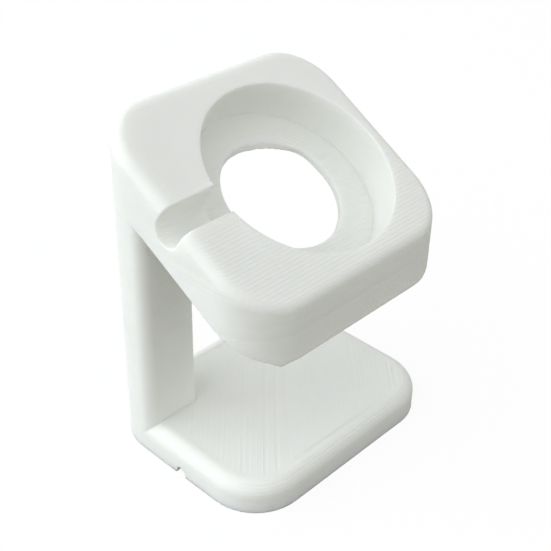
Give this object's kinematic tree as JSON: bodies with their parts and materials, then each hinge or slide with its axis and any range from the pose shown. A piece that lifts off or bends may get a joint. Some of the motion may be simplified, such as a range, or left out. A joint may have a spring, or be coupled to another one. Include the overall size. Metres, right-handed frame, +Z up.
{
  "type": "smartwatch charging stand",
  "caption": "One-piece printed stand: a flat base, a corner post and a sloping head with a stepped round seat for a watch charging puck and a side channel for its cable.",
  "frame": {"origin": "middle of the footprint, on the surface the stand rests on", "axes": "+X to the right, +Y to the back where the head is highest, +Z up"},
  "size_m": [0.04, 0.032, 0.0516],
  "materials": {
    "white_plastic": "matt white printed plastic with fine layer lines"
  },
  "bodies": {
    "root": {"stand_body": "white_plastic"}
  },
  "joints": []
}
